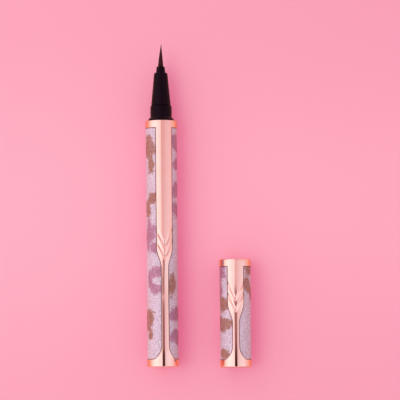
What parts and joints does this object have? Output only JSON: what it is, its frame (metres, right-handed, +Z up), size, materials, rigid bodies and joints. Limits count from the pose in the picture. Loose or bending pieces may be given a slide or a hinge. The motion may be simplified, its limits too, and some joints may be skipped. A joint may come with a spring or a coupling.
{
  "type": "eyeliner pen",
  "caption": "Slim liquid eyeliner pen with a pointed brush, black stepped nose and glitter panels in a rose-gold casing, lying beside its removed cap, which holds a sprung inner cap.",
  "frame": {"origin": "middle of the overall footprint, on the surface that the pen and its cap lie on", "axes": "+Z up from that surface, +Y along the pen towards its brush, +X from the pen towards the cap"},
  "size_m": [0.0412, 0.128, 0.0125],
  "materials": {
    "rose_gold_plating": "polished rose-gold metal plating on plastic",
    "lavender_glitter": "fine lavender glitter with copper and mauve blotches",
    "black_plastic": "satin black",
    "white_plastic": "satin white",
    "tank_plastic": "smooth, slightly milky",
    "soft_seal": "matt",
    "ink_felt": "porous fibre soaked with ink",
    "brown_bristle": "fine dark brown filaments",
    "steel": "smooth"
  },
  "bodies": {
    "pen": {"barrel_cage": "rose_gold_plating", "barrel_panel_left": "lavender_glitter", "barrel_panel_right": "lavender_glitter", "barrel_liner": "white_plastic", "tail_plug": "rose_gold_plating", "tail_seal": "soft_seal", "ink_tank": "tank_plastic", "tank_gasket": "soft_seal", "front_collar": "black_plastic", "collector": "white_plastic", "nozzle_cone": "black_plastic", "brush_holder": "black_plastic", "feed_rod": "ink_felt", "brush": "brown_bristle"},
    "mixing_ball": {"mixing_ball": "steel"},
    "cap": {"cap_cage": "rose_gold_plating", "cap_panel_left": "lavender_glitter", "cap_panel_right": "lavender_glitter", "cap_top_disc": "rose_gold_plating", "cap_liner": "white_plastic", "cap_plug": "white_plastic", "inner_cap_spring": "steel"},
    "inner_cap": {"inner_cap": "white_plastic"}
  },
  "joints": [
    {"name": "cap_pull", "type": "slide", "parent": "pen", "child": "cap", "axis": [0, 1, 0], "range_m": [0, 0.031]},
    {"name": "inner_cap_push", "type": "slide", "parent": "cap", "child": "inner_cap", "axis": [0, 1, 0], "range_m": [0, 0.0024], "stiffness_N_per_m": 250, "springref_m": -0.002, "deforming": ["inner_cap_spring"]},
    {"name": "mixing_ball_travel", "type": "slide", "parent": "pen", "child": "mixing_ball", "axis": [0, 1, 0], "range_m": [-0.0217, 0.0489]}
  ]
}
